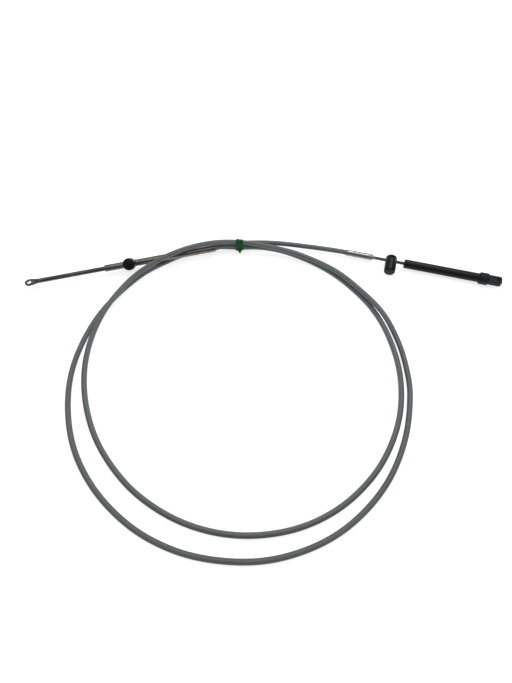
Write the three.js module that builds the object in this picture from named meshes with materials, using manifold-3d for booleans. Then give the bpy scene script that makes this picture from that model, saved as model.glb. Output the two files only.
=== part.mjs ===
// A throttle and shift cable for a boat: a push-pull cable lying in two loose loops, tied at the top.
// Millimetres, +Z up, the floor at Z = 0. X runs from the control end to the engine end.
import * as THREE from "three";
import { mergeVertices } from "three/addons/utils/BufferGeometryUtils.js";
import Module from "manifold-3d";

// Fits: the gap between pieces that touch, and the extra radius of a round bore over what is in it.
const GAP = 0.3;
const BORE_CLEARANCE = 0.3;

// Conduit and the wire inside it
const CONDUIT_DIAMETER = 7.1;
const CORE_DIAMETER = 2.6;
const CONDUIT_STEPS = 84;
const CONDUIT_END_STEPS = 6;
const CONDUIT_END_STEP = 12;
const CONDUIT_SIDES = 10;
const CORE_SIDES = 8;
const CONDUIT_LEAD = 10;

// Control end: hub sleeve, support tube, rod with its eye, and barrel
const CONTROL_HUB_DIAMETER = 9.7;
const CONTROL_HUB_LENGTH = 22;
const CONTROL_CONDUIT_SEAT = 17;
const SUPPORT_TUBE_DIAMETER = 9.5;
const SUPPORT_TUBE_LENGTH = 137.6;
const SUPPORT_TUBE_CHAMFER = 0.6;
const CONTROL_ROD_DIAMETER = 6.35;
const CONTROL_ROD_OUT = 106.1;
const CONTROL_ROD_HIDDEN = 60;
const CONTROL_ROD_BORE_DEPTH = 95;
const CORE_IN_ROD = 20;
const EYE_WIDTH = 11.8;
const EYE_THICKNESS = 3.2;
const EYE_HOLE_DIAMETER = 6.4;
const EYE_NECK = 14;
const EYE_ROOT = 5;
const CONTROL_BARREL_AT = 124;
const CONTROL_BARREL_TILT = 41;

// Engine end: hub sleeve, threaded tube, barrel, inner rod, guide sleeve and end fitting
const ENGINE_HUB_DIAMETER = 8.7;
const ENGINE_HUB_LENGTH = 40;
const ENGINE_HUB_NOSE_DIAMETER = 6.9;
const ENGINE_HUB_NOSE_LENGTH = 2;
const ENGINE_CONDUIT_SEAT = 28;
const HUB_WEB = 1.2;
const THREADED_TUBE_DIAMETER = 4.9;
const THREADED_TUBE_WALL = 0.6;
const THREADED_TUBE_IN_GUIDE = 85;
const ENGINE_BARREL_AT = 65.8;
const ENGINE_BARREL_TILT = 90;
const GUIDE_AT = 84.5;
const GUIDE_LENGTH = 112;
const GUIDE_DIAMETER = 12.7;
const GUIDE_CHAMFER = 1;
const ENGINE_ROD_DIAMETER = 3;
const ENGINE_ROD_IN_TUBE = 80;
const ENGINE_ROD_SEAT = 14;
const CORE_TO_ROD = 7;
const COLLAR_DIAMETER = 17;
const COLLAR_LENGTH = 13;
const COLLAR_CHAMFER = 1.6;
const COLLAR_SOCKET = 6.5;
const TONGUE_LENGTH = 18;
const TONGUE_WIDTH = 12.6;
const TONGUE_THICKNESS = 7.6;
const TONGUE_CORNER = 2.5;
const PIN_HOLE_DIAMETER = 6.2;
const PIN_HOLE_FROM_TIP = 5.8;

// Both barrels are of one length, and stand on their tubes in the same way
const CONTROL_BARREL_DIAMETER = 17;
const ENGINE_BARREL_DIAMETER = 15.9;
const BARREL_LENGTH = 28;
const BARREL_SHORT_END = 7;
const BARREL_CHAMFER = 1.4;
const BARREL_SLOT_WIDTH = 3.6;
const BARREL_SLOT_FROM = -5.7;
const BARREL_SLOT_TO = 4.9;
const BARREL_SLOT_DEPTH = 1.8;

// Twist tie round the three strands
const TIE_AT = -34.5;
const TIE_WIDTH = 10.5;
const TIE_THICKNESS = 1.3;
const TIE_GAP = 1.1;
const TIE_TAIL_LENGTH = 6.5;
const TIE_TAIL_DIAMETER = 3;

// Facets of the round pieces
const TUBE_SIDES = 24;
const BARREL_SIDES = 32;

// Where the conduit goes into each hub, and which way that end points: yaw about Z, pitch above the floor
const CONTROL_END = { at: [-70.9, 204.4, 13.1], yaw: -167.1, pitch: -0.76 };
const ENGINE_END = { at: [120.9, 200.9, 7.8], yaw: -14.3, pitch: 0.29 };

// The conduit's route between its two ends, chosen by hand along the loops
const ON_FLOOR = CONDUIT_DIAMETER / 2;
const ROUTE = [
  [-34.5, 207.5, 11.3], [-3.5, 208.2, 10.2], [30, 202.5, 7.4], [65, 188.5, 4.6], [98.5, 166, 3.7],
  [127, 136.5, ON_FLOOR], [150, 103, ON_FLOOR], [165, 64, ON_FLOOR], [173, 15.5, ON_FLOOR],
  [170, -31.5, ON_FLOOR], [157, -74.5, ON_FLOOR], [132.5, -116.5, ON_FLOOR], [98.5, -151, ON_FLOOR],
  [60.5, -174.5, ON_FLOOR], [18.5, -188, ON_FLOOR], [-28.5, -191.5, ON_FLOOR], [-74.5, -184, ON_FLOOR],
  [-118.5, -165.5, ON_FLOOR], [-160.5, -135, ON_FLOOR], [-197.5, -90.5, ON_FLOOR], [-220.5, -42, ON_FLOOR],
  [-231.5, 9.5, 3.85], [-229, 58.5, 6.4], [-214.5, 101.5, 11.8], [-190.5, 144.5, 11.6], [-159, 171.5, 17.6],
  [-118.5, 193, 22], [-76, 206.5, 22], [-34.5, 210.5, 18.9], [6.5, 204, 17.4], [52.5, 191.5, 13.8],
  [100.5, 165, 11.8], [135, 129.5, 11.4], [160.5, 93.5, 10.8], [176, 56.5, 5.4], [182.5, 18, 3.75],
  [182, -24.5, ON_FLOOR], [168.5, -79.5, ON_FLOOR], [142.5, -130, ON_FLOOR], [105.5, -170.5, ON_FLOOR],
  [61.5, -199, ON_FLOOR], [8, -215.7, ON_FLOOR], [-46, -217.4, ON_FLOOR], [-100, -206.5, ON_FLOOR],
  [-152, -180.5, ON_FLOOR], [-199, -137.5, ON_FLOOR], [-231.5, -83.5, ON_FLOOR], [-247, -18, ON_FLOOR],
  [-243, 42.5, ON_FLOOR], [-220.5, 104.5, ON_FLOOR], [-177.5, 161, ON_FLOOR], [-134, 191.5, ON_FLOOR],
  [-110, 202, 4.4], [-84.5, 209, 6.6], [-34.5, 216, 10.4], [17, 217.5, 9], [71.5, 211, 7.6],
];

const steel = { color: 0x9a9690, roughness: 0.32, metalness: 1 };
const darkSteel = { color: 0x6f6f6c, roughness: 0.35, metalness: 1 };
const blackPlastic = { color: 0x1b1e22, roughness: 0.5, metalness: 0 };
const greyJacket = { color: 0x858a8a, roughness: 0.55, metalness: 0 };
const greenCoating = { color: 0x14532b, roughness: 0.45, metalness: 0 };

const wasm = await Module();
wasm.setup();

// A three.js geometry as a manifold solid, its shared vertices merged and its empty triangles dropped.
function toSolid(geometry) {
  const bare = geometry.clone();
  bare.deleteAttribute("normal");
  bare.deleteAttribute("uv");
  const merged = mergeVertices(bare, 1e-4);
  const index = merged.index.array;
  const triangles = [];
  for (let i = 0; i < index.length; i += 3) {
    const [a, b, c] = [index[i], index[i + 1], index[i + 2]];
    if (a !== b && b !== c && c !== a) triangles.push(a, b, c);
  }
  return new wasm.Manifold(new wasm.Mesh({
    numProp: 3,
    vertProperties: Float32Array.from(merged.attributes.position.array),
    triVerts: Uint32Array.from(triangles),
  }));
}

function toGeometry(solid) {
  const mesh = solid.getMesh();
  const geometry = new THREE.BufferGeometry();
  geometry.setAttribute("position", new THREE.BufferAttribute(Float32Array.from(mesh.vertProperties), 3));
  geometry.setIndex(new THREE.BufferAttribute(Uint32Array.from(mesh.triVerts), 1));
  geometry.computeVertexNormals();
  return geometry;
}

function cut(geometry, ...tools) {
  return toGeometry(tools.reduce((solid, tool) => solid.subtract(toSolid(tool)), toSolid(geometry)));
}

function join(...geometries) {
  return toGeometry(geometries.slice(1).reduce((solid, more) => solid.add(toSolid(more)), toSolid(geometries[0])));
}

// A piece turned about the X axis from its profile of [x, radius] points.
function turned(profile, sides = TUBE_SIDES) {
  const points = profile.map(([x, radius]) => new THREE.Vector2(radius, x));
  return new THREE.LatheGeometry(points, sides).rotateZ(-Math.PI / 2);
}

function rod(from, to, radius, sides = TUBE_SIDES) {
  return turned([[from, 0], [from, radius], [to, radius], [to, 0]], sides);
}

// A round bore's radius over the shaft in it, so that its flats clear the shaft too.
function boreRadius(shaftDiameter, sides = TUBE_SIDES) {
  return (shaftDiameter / 2 + BORE_CLEARANCE) / Math.cos(Math.PI / sides);
}

function circle(radius, sides) {
  const points = [];
  for (let i = 0; i < sides; i++) {
    const angle = ((i + 0.5) / sides) * 2 * Math.PI;
    points.push(new THREE.Vector2(radius * Math.cos(angle), radius * Math.sin(angle)));
  }
  return points;
}

// The frame of one end: X points outward along it, from the mouth of its hub.
function endFrame({ at, yaw, pitch }) {
  const frame = new THREE.Group();
  frame.position.set(...at);
  frame.rotation.set(0, -THREE.MathUtils.degToRad(pitch), THREE.MathUtils.degToRad(yaw), "ZYX");
  frame.updateMatrixWorld(true);
  return frame;
}

const controlEnd = endFrame(CONTROL_END);
const engineEnd = endFrame(ENGINE_END);

function onAxis(frame, distance) {
  return new THREE.Vector3(distance, 0, 0).applyMatrix4(frame.matrixWorld);
}

// The conduit's line takes short steps near its ends, so that its facets run straight into the hubs.
class ConduitLine extends THREE.CatmullRomCurve3 {
  getUtoTmapping(u, distance) {
    const length = this.getLength();
    const step = u * CONDUIT_STEPS;
    const fromEnd = Math.min(step, CONDUIT_STEPS - step);
    const endsLength = 2 * CONDUIT_END_STEPS * CONDUIT_END_STEP;
    const middleStep = (length - endsLength) / (CONDUIT_STEPS - 2 * CONDUIT_END_STEPS);
    const arc = Math.min(fromEnd, CONDUIT_END_STEPS) * CONDUIT_END_STEP
      + Math.max(fromEnd - CONDUIT_END_STEPS, 0) * middleStep;
    return super.getUtoTmapping((step < CONDUIT_STEPS / 2 ? arc : length - arc) / length, distance);
  }
}

// It runs straight into each hub for a little way, and follows the route between them.
const conduitLine = new ConduitLine([
  onAxis(controlEnd, CONTROL_CONDUIT_SEAT),
  onAxis(controlEnd, 0),
  onAxis(controlEnd, -CONDUIT_LEAD),
  ...ROUTE.map((point) => new THREE.Vector3(...point)),
  onAxis(engineEnd, -CONDUIT_LEAD),
  onAxis(engineEnd, 0),
  onAxis(engineEnd, ENGINE_CONDUIT_SEAT),
], false, "catmullrom", 0.5);
conduitLine.arcLengthDivisions = 4000;

function alongConduit(section) {
  return new THREE.ExtrudeGeometry(section, { steps: CONDUIT_STEPS, extrudePath: conduitLine });
}

function conduitJacket() {
  const section = new THREE.Shape(circle(CONDUIT_DIAMETER / 2, CONDUIT_SIDES));
  section.holes.push(new THREE.Path(circle(boreRadius(CORE_DIAMETER, CORE_SIDES), CORE_SIDES)));
  return alongConduit(section);
}

// The wire fills the conduit and runs on, straight, into the control rod and the threaded tube.
const controlRodInnerEnd = CONTROL_HUB_LENGTH + GAP + SUPPORT_TUBE_LENGTH - CONTROL_ROD_HIDDEN;
const threadedTubeStart = ENGINE_CONDUIT_SEAT + GAP + HUB_WEB + GAP;
const threadedTubeEnd = GUIDE_AT + THREADED_TUBE_IN_GUIDE;
const engineRodStart = threadedTubeEnd - ENGINE_ROD_IN_TUBE;

function coreWire() {
  const radius = CORE_DIAMETER / 2;
  const overlap = 4;
  const inConduit = alongConduit(new THREE.Shape(circle(radius, CORE_SIDES)));
  const toControl = rod(CONTROL_CONDUIT_SEAT - overlap, controlRodInnerEnd + CORE_IN_ROD, radius, CORE_SIDES);
  const toEngine = rod(ENGINE_CONDUIT_SEAT - overlap, engineRodStart - CORE_TO_ROD, radius, CORE_SIDES);
  return join(
    inConduit,
    toControl.applyMatrix4(controlEnd.matrixWorld),
    toEngine.applyMatrix4(engineEnd.matrixWorld),
  );
}

// A crimped sleeve: the conduit's seat, a web with a hole for the wire, and the seat of what follows.
function hubProfile(length, radius, seat, nextBore, noseLength, noseRadius) {
  const conduitBore = boreRadius(CONDUIT_DIAMETER);
  const wireBore = boreRadius(CORE_DIAMETER);
  const webStart = seat + GAP;
  const webEnd = nextBore ? webStart + HUB_WEB : length;
  const nextSeat = nextBore ? [[webEnd, nextBore], [length, nextBore]] : [];
  return [
    [0, conduitBore], [0, radius], [length - noseLength, radius], [length - noseLength, noseRadius],
    [length, noseRadius], ...nextSeat.reverse(), [webEnd, wireBore], [webStart, wireBore],
    [webStart, conduitBore], [0, conduitBore],
  ];
}

function controlHubSleeve() {
  const radius = CONTROL_HUB_DIAMETER / 2;
  return turned(hubProfile(CONTROL_HUB_LENGTH, radius, CONTROL_CONDUIT_SEAT, 0, 1, radius - 0.5));
}

function engineHubSleeve() {
  const tubeBore = boreRadius(THREADED_TUBE_DIAMETER);
  const nose = ENGINE_HUB_NOSE_DIAMETER / 2;
  const radius = ENGINE_HUB_DIAMETER / 2;
  return turned(
    hubProfile(ENGINE_HUB_LENGTH, radius, ENGINE_CONDUIT_SEAT, tubeBore, ENGINE_HUB_NOSE_LENGTH, nose),
  );
}

function controlSupportTube() {
  const radius = SUPPORT_TUBE_DIAMETER / 2;
  const bore = boreRadius(CONTROL_ROD_DIAMETER);
  const start = CONTROL_HUB_LENGTH + GAP;
  const end = start + SUPPORT_TUBE_LENGTH;
  return turned([
    [start, bore], [start, radius], [end - SUPPORT_TUBE_CHAMFER, radius],
    [end, radius - SUPPORT_TUBE_CHAMFER], [end, bore], [start, bore],
  ]);
}

// The rod's end is pressed flat into a spoon shape with a round hole.
function controlRod() {
  const radius = CONTROL_ROD_DIAMETER / 2;
  const mouth = CONTROL_HUB_LENGTH + GAP + SUPPORT_TUBE_LENGTH;
  const eye = mouth + CONTROL_ROD_OUT;
  const neck = eye - EYE_NECK;
  const boreEnd = controlRodInnerEnd + CONTROL_ROD_BORE_DEPTH;
  const wireBore = boreRadius(CORE_DIAMETER);
  const shaft = turned([
    [boreEnd, 0], [boreEnd, wireBore], [controlRodInnerEnd, wireBore], [controlRodInnerEnd, radius],
    [neck, radius], [neck + EYE_ROOT, EYE_THICKNESS / 2], [neck + EYE_ROOT, 0],
  ]);
  const outline = new THREE.Shape();
  const half = EYE_WIDTH / 2;
  const shoulder = THREE.MathUtils.degToRad(110);
  outline.moveTo(neck - EYE_ROOT, -radius * 0.8);
  outline.lineTo(neck, -radius * 0.9);
  outline.lineTo(eye + half * Math.cos(shoulder), -half * Math.sin(shoulder));
  outline.absarc(eye, 0, half, -shoulder, shoulder, false);
  outline.lineTo(neck, radius * 0.9);
  outline.lineTo(neck - EYE_ROOT, radius * 0.8);
  const hole = new THREE.Path();
  hole.absarc(eye, 0, EYE_HOLE_DIAMETER / 2, 0, 2 * Math.PI, true);
  outline.holes.push(hole);
  const plate = new THREE.ExtrudeGeometry(outline, {
    depth: EYE_THICKNESS, bevelEnabled: false, curveSegments: TUBE_SIDES,
  });
  return join(shaft, plate.translate(0, 0, -EYE_THICKNESS / 2));
}

// A barrel stands across its tube: a chamfered cylinder with a cross hole and a shallow slot on its +Y side.
// Its own Z is its axis, and its long end is up.
function barrel(diameter, tubeDiameter) {
  const radius = diameter / 2;
  const bottom = -BARREL_SHORT_END;
  const top = BARREL_LENGTH - BARREL_SHORT_END;
  const body = turned([
    [bottom, 0], [bottom, radius - BARREL_CHAMFER], [bottom + BARREL_CHAMFER, radius],
    [top - BARREL_CHAMFER, radius], [top, radius - BARREL_CHAMFER], [top, 0],
  ], BARREL_SIDES).rotateY(-Math.PI / 2);
  const crossHole = rod(-radius - 1, radius + 1, boreRadius(tubeDiameter));
  const slotOutline = new THREE.Shape();
  const slotHalf = BARREL_SLOT_WIDTH / 2;
  slotOutline.absarc(0, BARREL_SLOT_TO - slotHalf, slotHalf, 0, Math.PI, false);
  slotOutline.absarc(0, BARREL_SLOT_FROM + slotHalf, slotHalf, Math.PI, 2 * Math.PI, false);
  const slot = new THREE.ExtrudeGeometry(slotOutline, { depth: radius, bevelEnabled: false, curveSegments: 8 });
  slot.rotateX(Math.PI / 2).translate(0, 2 * radius - BARREL_SLOT_DEPTH, 0);
  return { body, crossHole, slot };
}

function controlBarrel() {
  const { body, crossHole } = barrel(CONTROL_BARREL_DIAMETER, SUPPORT_TUBE_DIAMETER);
  return cut(body, crossHole);
}

function engineBarrel() {
  const { body, crossHole, slot } = barrel(ENGINE_BARREL_DIAMETER, THREADED_TUBE_DIAMETER);
  return cut(body, crossHole, slot);
}

function engineThreadedTube() {
  const radius = THREADED_TUBE_DIAMETER / 2;
  const bore = radius - THREADED_TUBE_WALL;
  return turned([
    [threadedTubeStart, bore], [threadedTubeStart, radius], [threadedTubeEnd, radius],
    [threadedTubeEnd, bore], [threadedTubeStart, bore],
  ]);
}

// The rod's end sits in the blind bore of the end fitting.
const guideEnd = GUIDE_AT + GUIDE_LENGTH;
const collarStart = guideEnd - COLLAR_SOCKET;
const collarEnd = collarStart + COLLAR_LENGTH;
const fittingTip = collarEnd + TONGUE_LENGTH;
const engineRodEnd = guideEnd + GAP + ENGINE_ROD_SEAT;

function engineGuideSleeve() {
  const radius = GUIDE_DIAMETER / 2;
  const bore = boreRadius(THREADED_TUBE_DIAMETER);
  return turned([
    [GUIDE_AT, bore], [GUIDE_AT, radius - GUIDE_CHAMFER], [GUIDE_AT + GUIDE_CHAMFER, radius],
    [guideEnd, radius], [guideEnd, bore], [GUIDE_AT, bore],
  ]);
}

// A round collar with a flat tongue, a socket for the guide sleeve, and an upright pin hole.
function engineEndFitting() {
  const collarRadius = COLLAR_DIAMETER / 2;
  const collar = turned([
    [collarStart, 0], [collarStart, collarRadius - COLLAR_CHAMFER], [collarStart + COLLAR_CHAMFER, collarRadius],
    [collarEnd - COLLAR_CHAMFER, collarRadius], [collarEnd, collarRadius - COLLAR_CHAMFER], [collarEnd, 0],
  ], BARREL_SIDES);
  const half = TONGUE_WIDTH / 2;
  const outline = new THREE.Shape();
  outline.moveTo(collarEnd - COLLAR_CHAMFER, -half);
  outline.absarc(fittingTip - TONGUE_CORNER, -half + TONGUE_CORNER, TONGUE_CORNER, -Math.PI / 2, 0, false);
  outline.absarc(fittingTip - TONGUE_CORNER, half - TONGUE_CORNER, TONGUE_CORNER, 0, Math.PI / 2, false);
  outline.lineTo(collarEnd - COLLAR_CHAMFER, half);
  const pinHole = new THREE.Path();
  pinHole.absarc(fittingTip - PIN_HOLE_FROM_TIP, 0, PIN_HOLE_DIAMETER / 2, 0, 2 * Math.PI, true);
  outline.holes.push(pinHole);
  const tongue = new THREE.ExtrudeGeometry(outline, {
    depth: TONGUE_THICKNESS, bevelEnabled: false, curveSegments: 12,
  }).translate(0, 0, -TONGUE_THICKNESS / 2);
  const socket = rod(collarStart - 1, guideEnd + GAP, boreRadius(GUIDE_DIAMETER));
  const rodBore = rod(guideEnd, engineRodEnd + GAP, boreRadius(ENGINE_ROD_DIAMETER));
  return cut(join(collar, tongue), socket, rodBore);
}

// Where the strands at the top of the loops pass one X, as points of Y and Z.
function strandsAt(x) {
  const line = conduitLine.getPoints(4000).filter((point) => point.y > 0);
  return line.slice(1)
    .filter((point, i) => (point.x - x) * (line[i].x - x) <= 0 && point.distanceTo(line[i]) < CONDUIT_DIAMETER)
    .map((point) => new THREE.Vector2(point.y, point.z));
}

// The band follows the outline round the three strands as they lie where it sits.
function twistTie() {
  const centres = strandsAt(TIE_AT);
  const inner = CONDUIT_DIAMETER / 2 + TIE_GAP;
  const band = new THREE.Shape(outlineRound(centres, inner + TIE_THICKNESS));
  band.holes.push(new THREE.Path(outlineRound(centres, inner)));
  const wrap = new THREE.ExtrudeGeometry(band, { depth: TIE_WIDTH, bevelEnabled: false });
  wrap.translate(0, 0, -TIE_WIDTH / 2).rotateX(Math.PI / 2).rotateZ(Math.PI / 2).translate(TIE_AT, 0, 0);
  const near = centres.reduce((a, b) => (b.x < a.x ? b : a));
  const tailRadius = TIE_TAIL_DIAMETER / 2;
  const tail = rod(0, TIE_TAIL_LENGTH, tailRadius, CORE_SIDES).rotateZ(-Math.PI / 2);
  tail.translate(TIE_AT, near.x - inner - TIE_THICKNESS / 2, near.y - tailRadius);
  return join(wrap, tail);
}

// The convex outline at one distance round a few points: an arc at each corner of their hull.
function outlineRound(centres, distance) {
  const middle = centres.reduce((sum, c) => sum.add(c), new THREE.Vector2()).divideScalar(centres.length);
  const ring = [...centres].sort((a, b) => a.clone().sub(middle).angle() - b.clone().sub(middle).angle());
  const arcPoints = 6;
  const outline = [];
  ring.forEach((centre, i) => {
    const before = ring[(i + ring.length - 1) % ring.length];
    const after = ring[(i + 1) % ring.length];
    const start = centre.clone().sub(before).angle() - Math.PI / 2;
    let end = after.clone().sub(centre).angle() - Math.PI / 2;
    while (end < start) end += 2 * Math.PI;
    for (let k = 0; k <= arcPoints; k++) {
      const angle = start + ((end - start) * k) / arcPoints;
      outline.push(new THREE.Vector2(Math.cos(angle), Math.sin(angle)).multiplyScalar(distance).add(centre));
    }
  });
  return outline;
}

function piece(name, geometry, look) {
  const mesh = new THREE.Mesh(geometry, new THREE.MeshStandardMaterial(look));
  mesh.name = name;
  return mesh;
}

const controlBarrelMesh = piece("control_barrel", controlBarrel(), blackPlastic);
controlBarrelMesh.position.x = CONTROL_BARREL_AT;
controlBarrelMesh.rotation.x = -THREE.MathUtils.degToRad(CONTROL_BARREL_TILT);

const engineBarrelMesh = piece("engine_barrel", engineBarrel(), blackPlastic);
engineBarrelMesh.position.x = ENGINE_BARREL_AT;
engineBarrelMesh.rotation.x = THREE.MathUtils.degToRad(ENGINE_BARREL_TILT);

controlEnd.add(
  piece("control_hub_sleeve", controlHubSleeve(), steel),
  piece("control_support_tube", controlSupportTube(), steel),
  piece("control_rod", controlRod(), darkSteel),
  controlBarrelMesh,
);
engineEnd.add(
  piece("engine_hub_sleeve", engineHubSleeve(), steel),
  piece("engine_threaded_tube", engineThreadedTube(), darkSteel),
  engineBarrelMesh,
  piece("engine_rod", rod(engineRodStart, engineRodEnd, ENGINE_ROD_DIAMETER / 2), steel),
  piece("engine_guide_sleeve", engineGuideSleeve(), blackPlastic),
  piece("engine_end_fitting", engineEndFitting(), blackPlastic),
);

const cable = new THREE.Group();
cable.add(
  piece("conduit_jacket", conduitJacket(), greyJacket),
  piece("core_wire", coreWire(), steel),
  piece("twist_tie", twistTie(), greenCoating),
  controlEnd,
  engineEnd,
);

export default cable;
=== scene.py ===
# A throttle and shift cable for a boat, lying in two loops on a pale floor.
# Metres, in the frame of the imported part: +Z up, the floor at Z = 0, the control end to the left.
import math

import bmesh
import bpy
from mathutils import Matrix, Vector


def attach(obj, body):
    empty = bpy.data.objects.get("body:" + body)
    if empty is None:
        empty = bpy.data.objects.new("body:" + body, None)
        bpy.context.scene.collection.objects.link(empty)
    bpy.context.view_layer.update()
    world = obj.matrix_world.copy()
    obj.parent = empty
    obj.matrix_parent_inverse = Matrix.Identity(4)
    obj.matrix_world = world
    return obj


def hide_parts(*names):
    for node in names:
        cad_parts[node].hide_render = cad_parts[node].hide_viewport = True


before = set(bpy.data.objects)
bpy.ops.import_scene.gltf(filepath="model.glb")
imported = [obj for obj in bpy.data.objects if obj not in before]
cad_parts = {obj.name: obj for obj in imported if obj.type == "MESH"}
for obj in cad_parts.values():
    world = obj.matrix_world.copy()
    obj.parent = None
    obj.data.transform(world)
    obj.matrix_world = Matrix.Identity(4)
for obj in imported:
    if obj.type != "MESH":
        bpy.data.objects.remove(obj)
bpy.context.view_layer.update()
bpy.ops.object.select_all(action="DESELECT")


# The camera looks down on the loops at sixty degrees, from a little over half a metre up.
# Its lens gives the photograph's perspective over the tall frame.
bpy.ops.object.camera_add(location=(-0.011, -0.288, 0.59355), rotation=(math.radians(30), 0, 0))
camera = bpy.context.object
camera.data.sensor_width = 36
camera.data.lens = 27.04
camera.data.clip_start = 0.01
bpy.context.scene.camera = camera


# The conduit is one stiff plastic-covered tube of 7.1 mm. It leaves the control end's sleeve, goes
# twice round in loose loops under its own stiffness, and goes into the engine end's sleeve.
def end_frame(at, yaw, pitch):
    """Where one end of the cable lies: X points outward along it, from the mouth of its sleeve."""
    turned_to = Matrix.Rotation(math.radians(yaw), 4, "Z")
    tilted_to = Matrix.Rotation(math.radians(-pitch), 4, "Y")
    return Matrix.Translation(at) @ (turned_to @ tilted_to)


control_end = end_frame((-0.0709, 0.2044, 0.0131), -167.1, -0.76)
engine_end = end_frame((0.1209, 0.2009, 0.0078), -14.3, 0.29)
conduit_diameter = 0.0071
on_floor = conduit_diameter / 2
route = [
    (-0.0345, 0.2075, 0.0113), (-0.0035, 0.2082, 0.0102), (0.030, 0.2025, 0.0074),
    (0.065, 0.1885, 0.0046), (0.0985, 0.166, 0.0037), (0.127, 0.1365, on_floor),
    (0.150, 0.103, on_floor), (0.165, 0.064, on_floor), (0.173, 0.0155, on_floor),
    (0.170, -0.0315, on_floor), (0.157, -0.0745, on_floor), (0.1325, -0.1165, on_floor),
    (0.0985, -0.151, on_floor), (0.0605, -0.1745, on_floor), (0.0185, -0.188, on_floor),
    (-0.0285, -0.1915, on_floor), (-0.0745, -0.184, on_floor), (-0.1185, -0.1655, on_floor),
    (-0.1605, -0.135, on_floor), (-0.1975, -0.0905, on_floor), (-0.2205, -0.042, on_floor),
    (-0.2315, 0.0095, 0.00385), (-0.229, 0.0585, 0.0064), (-0.2145, 0.1015, 0.0118),
    (-0.1905, 0.1445, 0.0116), (-0.159, 0.1715, 0.0176), (-0.1185, 0.193, 0.022),
    (-0.076, 0.2065, 0.022), (-0.0345, 0.2105, 0.0189), (0.0065, 0.204, 0.0174),
    (0.0525, 0.1915, 0.0138), (0.1005, 0.165, 0.0118), (0.135, 0.1295, 0.0114),
    (0.1605, 0.0935, 0.0108), (0.176, 0.0565, 0.0054), (0.1825, 0.018, 0.00375),
    (0.182, -0.0245, on_floor), (0.1685, -0.0795, on_floor), (0.1425, -0.130, on_floor),
    (0.1055, -0.1705, on_floor), (0.0615, -0.199, on_floor), (0.008, -0.2157, on_floor),
    (-0.046, -0.2174, on_floor), (-0.100, -0.2065, on_floor), (-0.152, -0.1805, on_floor),
    (-0.199, -0.1375, on_floor), (-0.2315, -0.0835, on_floor), (-0.247, -0.018, on_floor),
    (-0.243, 0.0425, on_floor), (-0.2205, 0.1045, on_floor), (-0.1775, 0.161, on_floor),
    (-0.134, 0.1915, on_floor), (-0.110, 0.202, 0.0044), (-0.0845, 0.209, 0.0066),
    (-0.0345, 0.216, 0.0104), (0.017, 0.2175, 0.009), (0.0715, 0.211, 0.0076),
]
points = [control_end @ Vector((x, 0, 0)) for x in (0.017, 0, -0.010)]
points += [Vector(point) for point in route]
points += [engine_end @ Vector((x, 0, 0)) for x in (-0.010, 0, 0.028)]

line = bpy.data.curves.new("conduit", "CURVE")
line.dimensions = "3D"
line.resolution_u = 10
line.bevel_depth = conduit_diameter / 2
line.bevel_resolution = 9
line.use_fill_caps = True
spline = line.splines.new("BEZIER")
spline.bezier_points.add(len(points) - 1)
for i, (knot, point) in enumerate(zip(spline.bezier_points, points)):
    before = points[i - 1] if i else 2 * point - points[1]
    after = points[i + 1] if i + 1 < len(points) else 2 * point - points[i - 1]
    knot.handle_left_type = knot.handle_right_type = "FREE"
    knot.co = point
    knot.handle_left = point - (after - before) / 6
    knot.handle_right = point + (after - before) / 6
conduit = bpy.data.objects.new("conduit", line)
bpy.context.collection.objects.link(conduit)


class Value:
    """One output of a material's node. Arithmetic on it adds Math nodes."""

    def __init__(self, finish, socket):
        self.finish, self.socket = finish, socket

    def math(self, operation, *numbers):
        return self.finish.node("ShaderNodeMath", {"operation": operation}, dict(enumerate(numbers)))

    def __add__(self, other):
        return self.math("ADD", self, other)

    def __radd__(self, other):
        return self.math("ADD", other, self)

    def __mul__(self, other):
        return self.math("MULTIPLY", self, other)

    def __rmul__(self, other):
        return self.math("MULTIPLY", other, self)

    def clamped(self, low, high):
        """The value's range from low to high, stretched to 0 to 1."""
        sockets = {"Value": self, "From Min": low, "From Max": high}
        return self.finish.node("ShaderNodeMapRange", {"clamp": True}, sockets)


class Finish:
    """A material of nodes. Its node method adds any node and gives back one of the node's outputs."""

    def __init__(self, name):
        self.material = bpy.data.materials.new(name)
        self.material.use_nodes = True
        self.tree = self.material.node_tree
        self.tree.nodes.clear()
        self.place = self.node("ShaderNodeTexCoord", output="Object")

    def node(self, kind, settings=None, sockets=None, output=0):
        node = self.tree.nodes.new(kind)
        for name, setting in (settings or {}).items():
            setattr(node, name, setting)
        for name, value in (sockets or {}).items():
            if isinstance(value, Value):
                self.tree.links.new(value.socket, node.inputs[name])
            else:
                node.inputs[name].default_value = value
        return Value(self, node.outputs[output])

    def noise(self, scale, detail=3, place=None):
        sockets = {"Vector": place or self.place, "Scale": scale, "Detail": detail}
        return self.node("ShaderNodeTexNoise", {}, sockets, "Fac")

    def mixed(self, share, first, second):
        factor, colour_a, colour_b, colour_out = 0, 6, 7, 2
        sockets = {factor: share, colour_a: first, colour_b: second}
        return self.node("ShaderNodeMix", {"data_type": "RGBA"}, sockets, colour_out)

    def bumps(self, height, distance):
        sockets = {"Height": height, "Distance": distance, "Strength": 1.0}
        return self.node("ShaderNodeBump", {}, sockets)

    def done(self, **looks):
        """Closes the material. Each keyword names one of the shader's sockets."""
        sockets = {}
        for name, look in looks.items():
            sockets[name.replace("_", " ").title().replace("Ior", "IOR")] = look
        shader = self.node("ShaderNodeBsdfPrincipled", {}, sockets)
        output = self.tree.nodes.new("ShaderNodeOutputMaterial")
        self.tree.links.new(shader.socket, output.inputs["Surface"])
        return self.material


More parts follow.
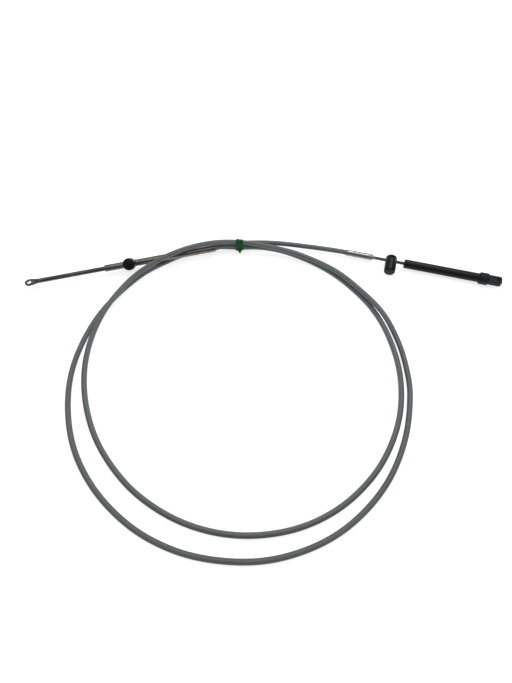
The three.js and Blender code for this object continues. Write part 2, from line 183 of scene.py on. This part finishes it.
grey = Finish("grey_jacket")
cloudy = grey.noise(14, 4).clamped(0.3, 0.7)
handled = grey.noise(160, 5).clamped(0.52, 0.75)
base = grey.mixed(cloudy, (0.105, 0.117, 0.117, 1), (0.130, 0.143, 0.142, 1))
conduit.data.materials.append(grey.done(
    base_color=grey.mixed(handled * 0.35, base, (0.185, 0.197, 0.196, 1)),
    roughness=0.44 + 0.12 * cloudy + 0.10 * handled,
    normal=grey.bumps(grey.noise(900, 4), 0.00006),
))
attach(conduit, "conduit")
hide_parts("conduit_jacket")


# The control end's sleeve is a short stainless tube, crimped on the conduit in two rings. The support
# tube follows it: drawn stainless of 9.5 mm, with a turned lip at the mouth where the rod comes out.
def pick(obj, chosen):
    """Selects the vertices of the mesh in edit mode that the test chooses by place."""
    bpy.ops.mesh.select_all(action="DESELECT")
    mesh = bmesh.from_edit_mesh(obj.data)
    for vertex in mesh.verts:
        vertex.select_set(bool(chosen(vertex.co)))
    mesh.select_flush(True)
    bmesh.update_edit_mesh(obj.data)


def turned(name, rings, sides=48):
    """A piece turned about the X axis: each ring of it is extruded from the last one and scaled."""
    bpy.ops.object.select_all(action="DESELECT")
    (start, radius), closed = rings[0], rings[0] == rings[-1]
    bpy.ops.mesh.primitive_circle_add(
        vertices=sides, radius=radius, fill_type="NOTHING" if closed else "NGON",
        location=(start, 0, 0), rotation=(0, math.pi / 2, 0),
    )
    obj = bpy.context.object
    obj.name = obj.data.name = name
    bpy.ops.object.transform_apply(location=True, rotation=True)
    bpy.ops.object.mode_set(mode="EDIT")
    bpy.ops.mesh.select_all(action="SELECT")
    for (x0, r0), (x1, r1) in zip(rings, rings[1:]):
        bpy.ops.mesh.extrude_region_move(TRANSFORM_OT_translate={"value": (x1 - x0, 0, 0)})
        bpy.ops.transform.resize(value=(1, r1 / r0, r1 / r0), center_override=(x1, 0, 0))
    bpy.ops.mesh.select_all(action="SELECT")
    bpy.ops.mesh.remove_doubles(threshold=1e-6)
    bpy.ops.mesh.normals_make_consistent(inside=False)
    bpy.ops.object.mode_set(mode="OBJECT")
    return obj


def placed(obj, end, body, finish, slot, *nodes):
    """Smooths a piece made along X, puts it on its end of the cable and gives it its finish."""
    bpy.ops.object.select_all(action="DESELECT")
    obj.select_set(True)
    bpy.context.view_layer.objects.active = obj
    bpy.ops.object.shade_smooth_by_angle(angle=math.radians(32))
    obj.data.transform(end)
    obj.data.materials.clear()
    obj.data.materials.append(finish)
    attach(obj, body)
    if nodes:
        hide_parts(*nodes)


def drawn_steel(name, end, dark, light, roughness, marks):
    """Stainless with fine lines along the piece and a few duller patches."""
    steel = Finish(name)
    along = steel.node("ShaderNodeMapping", {"vector_type": "TEXTURE"}, {
        "Vector": steel.place, "Location": end.translation, "Rotation": end.to_euler(),
    })
    stretch = {0: along, 1: (0.03, 1, 1)}
    stretched = steel.node("ShaderNodeVectorMath", {"operation": "MULTIPLY"}, stretch)
    lines = steel.noise(2600, 3, stretched)
    patches = steel.noise(90, 4, along).clamped(0.35, 0.7)
    return steel.done(
        base_color=steel.mixed(patches, dark, light),
        metallic=1.0,
        roughness=roughness + 0.12 * patches + 0.10 * lines,
        normal=steel.bumps(lines + marks * steel.noise(500, 2, along), 0.00003),
    )


tube_steel = drawn_steel(
    "tube_steel", control_end, (0.13, 0.122, 0.105, 1), (0.19, 0.178, 0.155, 1), 0.20, 0.3
)
jacket_bore, wire_bore = 0.00386, 0.00161
control_hub = turned("control_hub_sleeve_crimped", [
    (0.0000, jacket_bore), (0.0000, 0.0046), (0.0003, 0.00485), (0.0034, 0.00485), (0.0040, 0.00462),
    (0.0058, 0.00462), (0.0064, 0.00485), (0.0126, 0.00485), (0.0132, 0.00462), (0.0150, 0.00462),
    (0.0156, 0.00485), (0.0209, 0.00485), (0.0210, 0.00435), (0.0220, 0.00435), (0.0220, wire_bore),
    (0.0173, wire_bore), (0.0173, jacket_bore), (0.0000, jacket_bore),
])
placed(control_hub, control_end, "conduit", tube_steel, "steel", "control_hub_sleeve")
support_radius, support_bore, mouth = 0.00475, 0.00351, 0.1599
support_tube = turned("support_tube_drawn", [
    (0.0223, support_bore), (0.0223, 0.00445), (0.0226, support_radius), (0.1574, support_radius),
    (0.1581, 0.00468), (0.1586, support_radius), (0.1593, support_radius), (0.1597, 0.00460),
    (mouth, 0.00430), (mouth, 0.00380), (0.1595, support_bore), (0.0223, support_bore),
])
placed(support_tube, control_end, "conduit", tube_steel, "steel", "control_support_tube")


# The control rod is stainless of 6.35 mm. Its end is pressed flat into a spoon shape, wider than the
# rod, and drilled for the lever's pin.
rod_radius, rod_start = 0.003175, 0.0999
eye = mouth + 0.1061
neck, flat_from, half_eye, half_thick = eye - 0.014, eye - 0.009, 0.0059, 0.0016
pressed_height, narrowing, eye_hole_radius = 0.0022, 0.25, 0.0032
control_rod = turned("control_rod_blank", [
    (rod_start, rod_radius), (neck - 0.0004, rod_radius), (neck, rod_radius),
])
bpy.ops.object.mode_set(mode="EDIT")
stations = [
    (neck + 0.0012, 0.00325), (neck + 0.0026, 0.0035), (neck + 0.0040, 0.0038), (flat_from, 0.0041),
    (flat_from + 0.0020, 0.0046), (flat_from + 0.0040, 0.0052), (eye - 0.0030, 0.0056),
]
stations += [
    (eye + half_eye * math.sin(math.radians(a)), half_eye * math.cos(math.radians(a)))
    for a in (-15, 0, 15, 28, 40, 51, 61, 70, 78, 84.5, 88.5)
]
last_x, last_width, last_height = neck, rod_radius, rod_radius
pick(control_rod, lambda co: co.x > neck - 0.0001)
for x, width in stations:
    narrowed = rod_radius - narrowing * (x - neck)
    height = max(pressed_height, narrowed) if x < eye else pressed_height
    bpy.ops.mesh.extrude_region_move(TRANSFORM_OT_translate={"value": (x - last_x, 0, 0)})
    bpy.ops.transform.resize(
        value=(1, width / last_width, height / last_height), center_override=(x, 0, 0)
    )
    last_x, last_width, last_height = x, width, height
for x, _ in stations:
    level = half_thick + (rod_radius - half_thick) * max(0, (flat_from - x) / (flat_from - neck))
    for side in (1, -1):
        pick(control_rod, lambda co: abs(co.x - x) < 1e-5 and co.z * side > level)
        bpy.ops.transform.resize(value=(1, 1, 0), center_override=(x, 0, side * level))
bpy.ops.mesh.select_all(action="SELECT")
bpy.ops.mesh.normals_make_consistent(inside=False)
bpy.ops.object.mode_set(mode="OBJECT")


def combined(obj, other, operation):
    """Takes the other mesh away from the piece, or joins it to the piece, and then removes it."""
    modifier = obj.modifiers.new("combined", "BOOLEAN")
    modifier.operation, modifier.solver, modifier.object = operation, "EXACT", other
    bpy.ops.object.select_all(action="DESELECT")
    obj.select_set(True)
    bpy.context.view_layer.objects.active = obj
    bpy.ops.object.modifier_apply(modifier=modifier.name)
    bpy.data.objects.remove(other)


def drilled(obj, radius, at, turn=(0, 0, 0)):
    """Drills a round hole through the piece. The drill stands along Z before its turn."""
    bpy.ops.object.select_all(action="DESELECT")
    bpy.ops.mesh.primitive_cylinder_add(
        vertices=48, radius=radius, depth=0.03, location=at, rotation=turn
    )
    drill = bpy.context.object
    bpy.ops.object.transform_apply(location=True, rotation=True)
    combined(obj, drill, "DIFFERENCE")


drilled(control_rod, eye_hole_radius, (eye, 0, 0))
rod_steel = drawn_steel(
    "rod_steel", control_end, (0.075, 0.075, 0.072, 1), (0.12, 0.12, 0.115, 1), 0.22, 0.6
)
placed(control_rod, control_end, "control_rod", rod_steel, "dark_steel", "control_rod")


# Each barrel is moulded black plastic, a short round bar with broken ends that stands across its tube
# and turns on it. The engine end's barrel shows a shallow oval recess over its cross hole.
def along_z(obj):
    """Turns a piece that was made along X so that it stands along Z."""
    obj.data.transform(Matrix.Rotation(math.radians(-90), 4, "Y"))
    return obj


def barrel(name, radius, tube_radius):
    """The plain bar with its rounded rims and cross hole, its long end up."""
    short_end, long_end, clearance = 0.0070, 0.0210, 0.00025
    rim = [
        (0, 0.0021), (0.0002, 0.0015), (0.0006, 0.0009), (0.0011, 0.0004), (0.0017, 0.0001),
        (0.0024, 0),
    ]
    near = [(-short_end + x, radius - inward) for x, inward in rim]
    far = [(long_end - x, radius - inward) for x, inward in reversed(rim)]
    body = along_z(turned(name, near + far, 64))
    drilled(body, tube_radius + clearance, (0, 0, 0), (0, math.pi / 2, 0))
    return body


def set_on_tube(body, along, turn):
    """Slides a barrel along its tube and turns it, in degrees, to where it points."""
    turned_to = Matrix.Rotation(math.radians(turn), 4, "X")
    body.data.transform(Matrix.Translation((along, 0, 0)) @ turned_to)


def moulded_black(name, dark, light, roughness):
    """Black plastic from a mould: a fine grain, and paler where hands and clamps have rubbed it."""
    black = Finish(name)
    rubbed = black.noise(120, 5).clamped(0.5, 0.8)
    soft = black.noise(35, 2).clamped(0.3, 0.7)
    return black.done(
        base_color=black.mixed(rubbed * 0.6 + soft * 0.4, dark, light),
        specular_ior_level=0.22,
        roughness=roughness + 0.10 * soft + 0.12 * rubbed,
        normal=black.bumps(black.noise(1800, 3), 0.00004),
    )


barrel_black = moulded_black(
    "barrel_black", (0.0040, 0.0045, 0.0055, 1), (0.010, 0.011, 0.013, 1), 0.34
)
control_barrel = barrel("control_barrel_moulded", 0.0085, support_radius)
set_on_tube(control_barrel, 0.124, -41)
placed(control_barrel, control_end, "control_barrel", barrel_black, "black_plastic", "control_barrel")

tube_radius = 0.00245
recess_radius, recess_length, recess_low, recess_out = 0.0018, 0.0064, -0.0017, 0.01015
engine_barrel = barrel("engine_barrel_moulded", 0.00795, tube_radius)
bpy.ops.object.select_all(action="DESELECT")
bpy.ops.mesh.primitive_cylinder_add(
    vertices=32, radius=recess_radius, depth=0.0080, location=(0, recess_out, recess_low),
    rotation=(math.radians(90), 0, 0),
)
recess = bpy.context.object
bpy.ops.object.transform_apply(location=True, rotation=True)
bpy.ops.object.mode_set(mode="EDIT")
pick(recess, lambda co: co.z > recess_low + 1e-5)
bpy.ops.transform.translate(value=(0, 0, recess_length))
bpy.ops.object.mode_set(mode="OBJECT")
combined(engine_barrel, recess, "DIFFERENCE")
set_on_tube(engine_barrel, 0.0658, 90)
placed(engine_barrel, engine_end, "engine_barrel", barrel_black, "black_plastic", "engine_barrel")


# The engine end's sleeve is a bright stainless tube swaged on the conduit, with a thinner nose that
# grips the threaded tube. That tube is 4.9 mm, with a fine rolled thread where the barrel is set.
hub_steel = drawn_steel(
    "hub_steel", engine_end, (0.21, 0.206, 0.188, 1), (0.25, 0.245, 0.226, 1), 0.18, 0.2
)
nose_bore = 0.00277
engine_hub = turned("engine_hub_sleeve_swaged", [
    (0.0000, jacket_bore), (0.0000, 0.00410), (0.0004, 0.00432), (0.0044, 0.00435), (0.0052, 0.00422),
    (0.0120, 0.00422), (0.0128, 0.00435), (0.0180, 0.00435), (0.0188, 0.00422), (0.0256, 0.00422),
    (0.0264, 0.00435), (0.0374, 0.00435), (0.0380, 0.00415), (0.0380, 0.00350), (0.0392, 0.00345),
    (0.0400, 0.00320), (0.0400, nose_bore), (0.0295, nose_bore), (0.0295, wire_bore),
    (0.0283, wire_bore), (0.0283, jacket_bore), (0.0000, jacket_bore),
])
placed(engine_hub, engine_end, "conduit", hub_steel, "steel", "engine_hub_sleeve")

tube_bore, thread_root, pitch, crests, above_root = 0.00185, 0.0021, 0.0008, 60, 0.00005
threaded_tube = turned("engine_tube_threaded", [
    (0.0298, tube_bore), (0.0298, tube_radius), (0.0412, tube_radius), (0.0416, thread_root),
    (0.0877, thread_root), (0.0881, tube_radius), (0.1692, tube_radius), (0.1695, 0.0022),
    (0.1695, tube_bore), (0.0298, tube_bore),
], 32)
bpy.ops.object.select_all(action="DESELECT")
bpy.ops.mesh.primitive_plane_add(size=0.001, location=(0.0408, 0, thread_root + above_root))
thread = bpy.context.object
bpy.ops.object.transform_apply(location=True)
bpy.ops.object.mode_set(mode="EDIT")
bpy.ops.mesh.select_all(action="SELECT")
bpy.ops.mesh.merge(type="CENTER")
for _ in range(crests):
    for step in (tube_radius - thread_root - above_root, thread_root + above_root - tube_radius):
        bpy.ops.mesh.extrude_region_move(TRANSFORM_OT_translate={"value": (pitch / 2, 0, step)})
bpy.ops.object.mode_set(mode="OBJECT")
screw = thread.modifiers.new("screw", "SCREW")
screw.axis, screw.screw_offset, screw.angle = "X", pitch, math.radians(360)
screw.steps = screw.render_steps = 28
bpy.ops.object.modifier_apply(modifier=screw.name)
bpy.ops.object.mode_set(mode="EDIT")
bpy.ops.mesh.select_all(action="SELECT")
bpy.ops.mesh.remove_doubles(threshold=1e-6)
bpy.ops.mesh.select_non_manifold()
bpy.ops.mesh.extrude_region_move()
bpy.ops.transform.resize(value=(1, 0.92, 0.92), center_override=(0, 0, 0))
bpy.ops.mesh.bridge_edge_loops()
bpy.ops.mesh.select_all(action="SELECT")
bpy.ops.mesh.normals_make_consistent(inside=False)
bpy.ops.object.mode_set(mode="OBJECT")
threaded_tube.select_set(True)
bpy.context.view_layer.objects.active = threaded_tube
bpy.ops.object.join()
thin_steel = drawn_steel(
    "thin_steel", engine_end, (0.22, 0.217, 0.203, 1), (0.30, 0.295, 0.278, 1), 0.24, 0.2
)
placed(threaded_tube, engine_end, "conduit", thin_steel, "dark_steel", "engine_threaded_tube")


# The guide sleeve is an extruded black plastic tube over the inner rod. It is pushed into the collar of
# the end fitting, which is moulded with a flat tongue and an upright hole for the engine's pin.
sleeve_black = moulded_black(
    "sleeve_black", (0.0035, 0.0042, 0.0052, 1), (0.008, 0.0095, 0.011, 1), 0.38
)
sleeve_radius, sleeve_bore = 0.00635, 0.00277
guide_sleeve = turned("guide_sleeve_extruded", [
    (0.0845, sleeve_bore), (0.0845, 0.0045), (0.0846, 0.0052), (0.0849, 0.00578), (0.0854, 0.00618),
    (0.0861, sleeve_radius), (0.1965, sleeve_radius), (0.1965, sleeve_bore), (0.0845, sleeve_bore),
], 64)
placed(guide_sleeve, engine_end, "engine_end", sleeve_black, "black_plastic", "engine_guide_sleeve")

fitting = turned("end_fitting_moulded", [
    (0.1900, 0.00665), (0.1900, 0.0070), (0.1904, 0.0076), (0.1912, 0.0083), (0.1920, 0.0085),
    (0.2010, 0.0085), (0.2018, 0.0083), (0.2026, 0.0076), (0.2030, 0.0070), (0.2030, 0.00165),
    (0.1968, 0.00165), (0.1968, 0.00665), (0.1900, 0.00665),
], 64)
root, tip, tongue_width, tongue_thickness = 0.2012, 0.2210, 0.0126, 0.0076
pin_hole_radius, pin_hole_from_tip = 0.0031, 0.0058
bpy.ops.object.select_all(action="DESELECT")
bpy.ops.mesh.primitive_cube_add(
    size=1, location=((root + tip) / 2, 0, 0), scale=(tip - root, tongue_width, tongue_thickness)
)
tongue = bpy.context.object
bpy.ops.object.transform_apply(location=True, scale=True)
bpy.ops.object.mode_set(mode="EDIT")
bpy.ops.mesh.select_mode(type="EDGE")


def pick_edges(obj, chosen):
    """Selects the edges of the mesh in edit mode that the test chooses by their two ends."""
    bpy.ops.mesh.select_all(action="DESELECT")
    mesh = bmesh.from_edit_mesh(obj.data)
    for edge in mesh.edges:
        edge.select_set(bool(chosen(edge.verts[0].co, edge.verts[1].co)))
    bmesh.update_edit_mesh(obj.data)


def on_tongue_rim(a, b):
    """Whether an edge lies level, either round the tongue's upper or lower face or along a side."""
    level = abs(a.z - b.z) < 1e-6
    round_face = abs(a.z) > tongue_thickness / 2 - 1e-4 and min(a.x, b.x) > root + 1e-4
    along_side = abs(a.y) > tongue_width / 2 - 1e-4 and abs(a.y - b.y) < 1e-6
    return level and (round_face or along_side)


pick_edges(tongue, lambda a, b: min(a.x, b.x) > tip - 1e-4 and abs(a.y - b.y) < 1e-6)
bpy.ops.mesh.bevel(offset=0.0025, segments=8)
pick_edges(tongue, on_tongue_rim)
bpy.ops.mesh.bevel(offset=0.0007, segments=3)
bpy.ops.mesh.select_mode(type="VERT")
bpy.ops.object.mode_set(mode="OBJECT")
combined(fitting, tongue, "UNION")
drilled(fitting, pin_hole_radius, (tip - pin_hole_from_tip, 0, 0))
fitting_black = moulded_black(
    "fitting_black", (0.0060, 0.0072, 0.0082, 1), (0.012, 0.014, 0.016, 1), 0.40
)
placed(fitting, engine_end, "engine_end", fitting_black, "black_plastic", "engine_end_fitting")


# The inner rod is bright drawn steel and the wire in the conduit is a dull strand. Both are nearly or
# wholly hidden, so they keep their plain solids.
engine_rod_steel = drawn_steel(
    "engine_rod_steel", engine_end, (0.40, 0.39, 0.37, 1), (0.5, 0.49, 0.46, 1), 0.25, 0.2
)
core_steel = drawn_steel(
    "core_steel", control_end, (0.30, 0.29, 0.27, 1), (0.4, 0.39, 0.36, 1), 0.35, 0.8
)
for node, finish in (("engine_rod", engine_rod_steel), ("core_wire", core_steel)):
    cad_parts[node].data.materials.clear()
    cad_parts[node].data.materials.append(finish)


# The tie is a wire in a flat dark green plastic ribbon. It goes twice round the three strands at the top
# of the loops, and its two ends are twisted together towards the viewer.
strands = [Vector((0.2075, 0.0113)), Vector((0.2160, 0.0104)), Vector((0.2105, 0.0189))]


def round_strands(distance, count):
    """Evenly spaced points on the tight outline at one distance round the three strands."""
    corners, steps = [], 24
    for i, centre in enumerate(strands):
        before, after = strands[i - 1], strands[(i + 1) % 3]
        start = math.atan2(*reversed(centre - before)) - math.pi / 2
        end = math.atan2(*reversed(after - centre)) - math.pi / 2
        while end < start:
            end += 2 * math.pi
        for k in range(steps + 1):
            angle = start + (end - start) * k / steps
            corners.append(centre + distance * Vector((math.cos(angle), math.sin(angle))))
    corners.append(corners[0])
    lengths = [0]
    for a, b in zip(corners, corners[1:]):
        lengths.append(lengths[-1] + (b - a).length)
    found = []
    for i in range(count):
        want = lengths[-1] * i / count
        k = max(j for j in range(len(corners) - 1) if lengths[j] <= want)
        share = (want - lengths[k]) / (lengths[k + 1] - lengths[k])
        found.append(corners[k].lerp(corners[k + 1], share))
    return found


def tie_wrap(middle, slant, lift):
    """One turn of the ribbon, its wire showing as a low rib along the middle."""
    sides, half_width, thickness = 72, 0.0028, 0.0006
    from_strands, rib_height, rib_width, edge_drop = 0.0042, 0.0006, 0.28, 0.0002
    bpy.ops.object.select_all(action="DESELECT")
    bpy.ops.mesh.primitive_cylinder_add(
        vertices=sides, radius=0.01, depth=2 * half_width, end_fill_type="NOTHING",
        rotation=(0, math.pi / 2, 0),
    )
    wrap = bpy.context.object
    bpy.ops.object.transform_apply(rotation=True)
    bpy.ops.object.mode_set(mode="EDIT")
    pick_edges(wrap, lambda a, b: abs(a.x - b.x) > half_width)
    bpy.ops.mesh.subdivide(number_cuts=7)
    bpy.ops.object.mode_set(mode="OBJECT")
    for vertex in wrap.data.vertices:
        across = vertex.co.x / half_width
        rib = rib_height * math.exp(-(across / rib_width) ** 2) - edge_drop * across ** 2
        turn = math.atan2(vertex.co.z, vertex.co.y) % (2 * math.pi)
        place = round(turn / (2 * math.pi) * sides) % sides
        spot = round_strands(from_strands + rib + lift, sides)[place]
        vertex.co = (middle + vertex.co.x + slant * math.sin(turn), spot.x, spot.y)
    bpy.ops.object.mode_set(mode="EDIT")
    bpy.ops.mesh.select_all(action="SELECT")
    bpy.ops.mesh.normals_make_consistent(inside=False)
    bpy.ops.object.mode_set(mode="OBJECT")
    solid = wrap.modifiers.new("ribbon", "SOLIDIFY")
    solid.thickness, solid.offset = thickness, -1
    bpy.ops.object.modifier_apply(modifier=solid.name)
    return wrap


wraps = [tie_wrap(-0.0380, -0.0006, 0.0005), tie_wrap(-0.0322, 0.0006, 0)]
tail_radius, tail_length, tail_twist, tail_taper = 0.0030, 0.0048, 300, 0.6
bpy.ops.object.select_all(action="DESELECT")
bpy.ops.mesh.primitive_cylinder_add(vertices=24, radius=tail_radius, depth=tail_length)
tail = bpy.context.object
bpy.ops.object.mode_set(mode="EDIT")
pick_edges(tail, lambda a, b: abs(a.z - b.z) > tail_length / 2)
bpy.ops.mesh.subdivide(number_cuts=23)
bpy.ops.object.mode_set(mode="OBJECT")
for vertex in tail.data.vertices:
    along = vertex.co.z / tail_length + 0.5
    turn = Matrix.Rotation(math.radians(tail_twist) * along, 2)
    flat = turn @ Vector((vertex.co.x, vertex.co.y * 0.7)) * (1 - tail_taper * along ** 2)
    vertex.co = (flat.x, flat.y, vertex.co.z)
tail.data.transform(
    Matrix.Translation((-0.0345, 0.2012, 0.0098)) @ Matrix.Rotation(math.radians(96), 4, "X")
)
for wrap in wraps:
    wrap.select_set(True)
bpy.ops.object.join()
tail.name = tail.data.name = "twist_tie_wraps"
green = Finish("green_tie")
worn = green.noise(300, 4).clamped(0.45, 0.75)
tie_green = green.done(
    base_color=green.mixed(worn, (0.004, 0.070, 0.018, 1), (0.016, 0.115, 0.040, 1)),
    roughness=0.30 + 0.2 * worn,
    specular_ior_level=0.15,
    normal=green.bumps(green.noise(1500, 2), 0.00005),
)
placed(tail, Matrix.Identity(4), "conduit", tie_green, "green_tie", "twist_tie")


# The floor is plain white paper that gives a little light of its own, so that shadows stay faint. The
# light is a studio's: a wide soft box overhead, a small strip box from the back right, and a dim room.
bpy.ops.mesh.primitive_plane_add(size=30, location=(0, 0, 0))
floor = bpy.context.object
floor.name = "floor"
paper = Finish("white_floor")
floor.data.materials.append(paper.done(
    base_color=paper.mixed(paper.noise(3, 2), (0.60, 0.60, 0.60, 1), (0.62, 0.62, 0.62, 1)),
    roughness=0.9,
    emission_color=(1, 1, 1, 1),
    emission_strength=0.74,
))


def soft_box(name, place, aim, size, watts):
    """A rectangular soft light that stands at one place and points at another."""
    bpy.ops.object.light_add(type="AREA", location=place)
    light = bpy.context.object
    light.name = name
    light.data.shape = "RECTANGLE"
    light.data.size, light.data.size_y = size
    light.data.energy = watts
    light.rotation_euler = (Vector(aim) - Vector(place)).to_track_quat("-Z", "Y").to_euler()


soft_box("overhead_box", (0, 0.35, 1.2), (0, 0.05, 0), (2.4, 1.6), 13)
soft_box("strip_box", (0.37, 0.90, 1.2), (0.14, 0.20, 0), (0.35, 0.30), 5.0)
room = bpy.data.worlds.new("room")
bpy.context.scene.world = room
room.use_nodes = True
air = room.node_tree.nodes["Background"].inputs
air["Color"].default_value, air["Strength"].default_value = (0.80, 0.82, 0.85, 1), 0.24
bpy.context.scene.view_settings.view_transform = "Standard"
